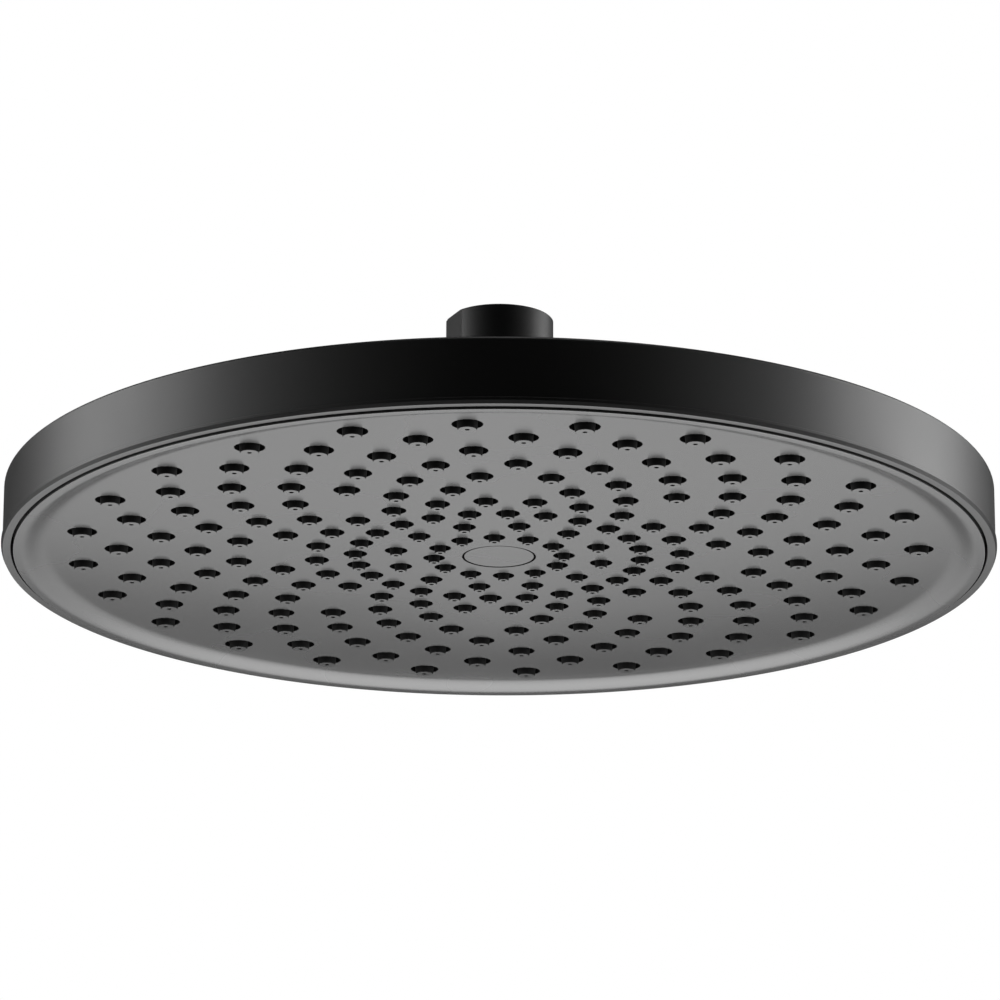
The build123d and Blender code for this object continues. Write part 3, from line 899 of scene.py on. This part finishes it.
# %% Thread
thread = bpy.data.objects.new("thread", bpy.data.meshes.new("thread"))
bpy.context.scene.collection.objects.link(thread)
grow(
    thread,
    ridge_tree,
    turns=4.6,
    steps=460,
    pitch=1.814 * MM,
    bore_radius=pipe_bore_r * MM,
    top_level=-0.95 * MM,
    finish=fitting_black,
)
close_up(thread)
seat(shade(thread, sharp_degrees=30, material=fitting_black), "inlet", "black_metal")

# %% [markdown]
# ## The ball nut
# The nut holds the ball in its seat and clamps the casing to the chamber below. Its upper part
# narrows to the opening that the neck swings in, and it has two wrench flats, made in the same way.

# %% Ball nut
nut_r, nut_bore_r, nut_base_z, nut_steps = 18.517, 15.317, -41.75, 208
nut_flat, nut_flat_z, nut_shoulder_z = 1.2, nut_base_z + 9.0, ball_z + 3.0
nut_top_r, nut_top_z, nut_seat_z = 15.5, -21.522, -31.43
opening_r, opening_z = 10.9, -23.122
nut_corners = [
    (nut_bore_r, nut_base_z, 0.15),
    (nut_r, nut_base_z, 0.3),
    (nut_r, nut_flat_z - flat_step, 0),
    (nut_r, nut_flat_z, 0),
    (nut_r, nut_shoulder_z, 0.6),
    (nut_top_r, nut_top_z, 0.5),
    (opening_r, nut_top_z, 0.3),
    (opening_r, opening_z, 0),
    (nut_bore_r, nut_seat_z, 0),
]
nut = turned("ball_nut_body", [soften(nut_corners)], nut_steps, start=flat_turn)
press_flats(nut, nut_r - nut_flat, nut_base_z, nut_flat_z - flat_step / 2, flat_turn)
seat(shade(nut, sharp_degrees=14, material=fitting_black), "head", "black_metal", "ball_nut")

# %% [markdown]
# ## The washer in the mouth
# The flat rubber washer below the thread seals the pipe that is screwed in. A squashed torus could
# stand for it, but a turned outline keeps its faces flat. It can be seen from above, so its edges
# are rounded.

# %% Inlet washer
washer_in_r, washer_out_r, washer_edge, washer_steps = 5.5, 9.7, 0.3, 72
washer_outline = soften(
    [
        (washer_in_r, washer_seat_z, washer_edge),
        (washer_out_r, washer_seat_z, washer_edge),
        (washer_out_r, pipe_bore_z, washer_edge),
        (washer_in_r, pipe_bore_z, washer_edge),
    ]
)
washer = turned("inlet_seal", [washer_outline], washer_steps)
seat(shade(washer, sharp_degrees=30, material=black_rubber), "inlet", "black_rubber", "inlet_washer")

# %% [markdown]
# ## The pieces inside
# The rest of the solids have the right shape already: the chamber, its screws, the seals, the
# seat of the ball and the regulator. Building them again here would add nothing that can be seen,
# so they stay as they are and only get their finishes.

# %% Finishes of the inner pieces
inner_finishes = {
    "inlet_screen": steel,
    "flow_regulator": pale_plastic,
    "regulator_seal": black_rubber,
    "seat_ring": pale_plastic,
    "ball_seal": black_rubber,
    "cover_washer": black_rubber,
    "chamber_back": black_plastic,
    "chamber_screws": steel,
    "centre_seal": black_rubber,
    "centre_screw": steel,
}
for name, material in inner_finishes.items():
    nodes[name].data.materials.clear()
    nodes[name].data.materials.append(material)
print("inner pieces with a finish:", len(inner_finishes))

# %% [markdown]
# ## The studio
# A black object shows what stands round it. In the photograph the wall of the head is black in
# the middle and lighter towards its sides, so two broad soft lights stand at the sides, with two
# weak fills nearer the camera, and a dark cloth hangs round the object. The face mirrors what lies
# below it at a low angle: three panels of light, each weaker than the one before, turn it grey, and
# a dark card close behind the head darkens its far part. One painted surrounding could do the same,
# but separate things can each be fitted to one part of the photograph. The camera doesn't see
# them, only the white behind them.

# %% Floor, cloth and card
def plain_mesh(name, points, faces):
    """Object from points and faces."""
    mesh = bpy.data.meshes.new(name)
    mesh.from_pydata(points, [], faces)
    made = bpy.data.objects.new(name, mesh)
    bpy.context.scene.collection.objects.link(made)
    return made


floor_z, floor_r, cloth_r = -2.1, 9.0, 1.7
cloth_far_low, cloth_near_low, cloth_high = -0.25, -2.05, 2.4
card_r, card_low, card_dip, card_high = 0.19, -0.1035, 0.007, 0.5
card_half, card_dip_half = radians(50), radians(12)
stage_steps, card_steps = 96, 24
turns = [2 * pi * n / stage_steps for n in range(stage_steps)]
around = [(cos(turn), sin(turn)) for turn in turns]
floor_points = [(x * floor_r, y * floor_r, floor_z) for x, y in around]
floor = plain_mesh("floor", floor_points, [list(range(stage_steps))])
towards = (sin(view_turn), -cos(view_turn))
cloth_points = []
for x, y in around:
    share = max(0.0, x * towards[0] + y * towards[1]) ** 0.5
    low = cloth_far_low + (cloth_near_low - cloth_far_low) * share
    cloth_points.append((x * cloth_r, y * cloth_r, low))
cloth_points += [(x * cloth_r, y * cloth_r, cloth_high) for x, y in around]
cloth_faces = []
for n in range(stage_steps):
    m = (n + 1) % stage_steps
    cloth_faces.append((n, m, stage_steps + m, stage_steps + n))
cloth_faces.append(list(range(stage_steps, 2 * stage_steps)))
cloth = plain_mesh("dark_cloth", cloth_points, cloth_faces)
cloth.visible_camera = False
card_points = []
for level in ("low", "high"):
    for n in range(card_steps + 1):
        turn = card_half * (2 * n / card_steps - 1)
        spot = (-card_r * sin(view_turn + turn), card_r * cos(view_turn + turn))
        dip = card_dip * min(1.0, abs(turn) / card_dip_half)
        card_points.append((*spot, card_low - dip if level == "low" else card_high))
card_faces = [(n, n + 1, n + card_steps + 2, n + card_steps + 1) for n in range(card_steps)]
card = plain_mesh("dark_card", card_points, card_faces)
card.visible_camera = False
print("floor at z", floor_z, "m, cloth", cloth_r, "m and card", card_r, "m from the axis")

# %% Floor and cloth materials
floor_tone, floor_roughness, cloth_tone = 0.82, 0.9, 0.006
fade_start, fade_end = 2.4, 8.1


def floor_finish():
    """Pale floor that turns to plain white towards its edge and in reflections."""
    made = bpy.data.materials.new("pale_floor")
    made.use_nodes = True
    tree = made.node_tree
    matt = tree.nodes["Principled BSDF"]
    matt.inputs["Base Color"].default_value = (*grey(floor_tone), 1.0)
    matt.inputs["Roughness"].default_value = floor_roughness
    glow = tree.nodes.new("ShaderNodeEmission")
    place = tree.nodes.new("ShaderNodeTexCoord")
    distance = tree.nodes.new("ShaderNodeVectorMath")
    distance.operation = "LENGTH"
    fade = tree.nodes.new("ShaderNodeMapRange")
    fade.inputs["From Min"].default_value = fade_start
    fade.inputs["From Max"].default_value = fade_end
    ray = tree.nodes.new("ShaderNodeLightPath")
    white = maths(tree, "MAXIMUM", ray.outputs["Is Glossy Ray"], ray.outputs["Is Transmission Ray"])
    mix = tree.nodes.new("ShaderNodeMixShader")
    tree.links.new(place.outputs["Object"], distance.inputs[0])
    tree.links.new(distance.outputs["Value"], fade.inputs["Value"])
    tree.links.new(maths(tree, "MAXIMUM", white, fade.outputs["Result"]), mix.inputs[0])
    tree.links.new(matt.outputs[0], mix.inputs[1])
    tree.links.new(glow.outputs[0], mix.inputs[2])
    tree.links.new(mix.outputs[0], tree.nodes["Material Output"].inputs["Surface"])
    return made


floor.data.materials.append(floor_finish())
dark = bpy.data.materials.new("dark_cloth")
dark.use_nodes = True
dark_shader = dark.node_tree.nodes["Principled BSDF"]
dark_shader.inputs["Base Color"].default_value = (*grey(cloth_tone), 1.0)
dark_shader.inputs["Roughness"].default_value = 1.0
dark_shader.inputs["Specular IOR Level"].default_value = 0.0
cloth.data.materials.append(dark)
card.data.materials.append(dark)
print("stage materials:", floor.data.materials[0].name, cloth.data.materials[0].name)

# %% Soft lights
def soft_light(name, place, aim, width, height, watts):
    """Area light that faces a point and isn't seen by the camera itself."""
    lamp = bpy.data.lights.new(name, "AREA")
    lamp.shape = "RECTANGLE"
    lamp.size = width
    lamp.size_y = height
    lamp.energy = watts
    made = bpy.data.objects.new(name, lamp)
    made.location = place
    made.rotation_euler = (Vector(aim) - Vector(place)).to_track_quat("-Z", "Y").to_euler()
    made.visible_camera = False
    bpy.context.scene.collection.objects.link(made)
    return made


side_distance, side_z, side_tall = 1.45, 0.4, 1.2
panel_z, panel_width = -0.75, 1.6
top_place, top_size, top_watts = (0.2, -0.3, 1.9), 1.0, 6.0
light_aim = (0.0, 0.0, -0.05)
# A panel that looked straight up would leave its own turn open, so it leans by a hair.
nearly_up = Vector((0.0, 0.001, 1.0))
for name, degrees, width, watts in (
    ("left_light", -94, 1.1, 18.0),
    ("right_light", 102, 1.1, 22.5),
    ("left_fill", -56, 0.9, 1.5),
    ("right_fill", 58, 0.9, 1.5),
):
    turn = view_turn + radians(degrees)
    spot = (side_distance * sin(turn), -side_distance * cos(turn), side_z)
    soft_light(name, spot, light_aim, width, side_tall, watts)
for name, reach, depth, watts in (
    ("low_light", 0.18, 0.64, 17.4),
    ("low_middle_light", 0.61, 0.22, 3.7),
    ("low_far_light", 0.86, 0.28, 2.6),
):
    spot = Vector((-reach * sin(view_turn), reach * cos(view_turn), panel_z))
    soft_light(name, spot, spot + nearly_up, panel_width, depth, watts)
soft_light("top_light", top_place, light_aim, top_size, top_size, top_watts)

# %% World
world = bpy.data.worlds.new("studio")
bpy.context.scene.world = world
world.use_nodes = True
sky = world.node_tree
sky.nodes.clear()
ray = sky.nodes.new("ShaderNodeLightPath")
seen = maths(sky, "MAXIMUM", ray.outputs["Is Camera Ray"], ray.outputs["Is Glossy Ray"])
seen = maths(sky, "MAXIMUM", seen, ray.outputs["Is Transmission Ray"])
blend = sky.nodes.new("ShaderNodeMixShader")
output = sky.nodes.new("ShaderNodeOutputWorld")
sky.links.new(seen, blend.inputs[0])
soft_strength, seen_strength = 0.5, 1.0
for place, strength in ((1, soft_strength), (2, seen_strength)):
    white = sky.nodes.new("ShaderNodeBackground")
    white.inputs["Color"].default_value = (1.0, 1.0, 1.0, 1.0)
    white.inputs["Strength"].default_value = strength
    sky.links.new(white.outputs[0], blend.inputs[place])
sky.links.new(blend.outputs[0], output.inputs["Surface"])
bpy.context.scene.view_settings.view_transform = "Standard"
print("view transform:", bpy.context.scene.view_settings.view_transform)
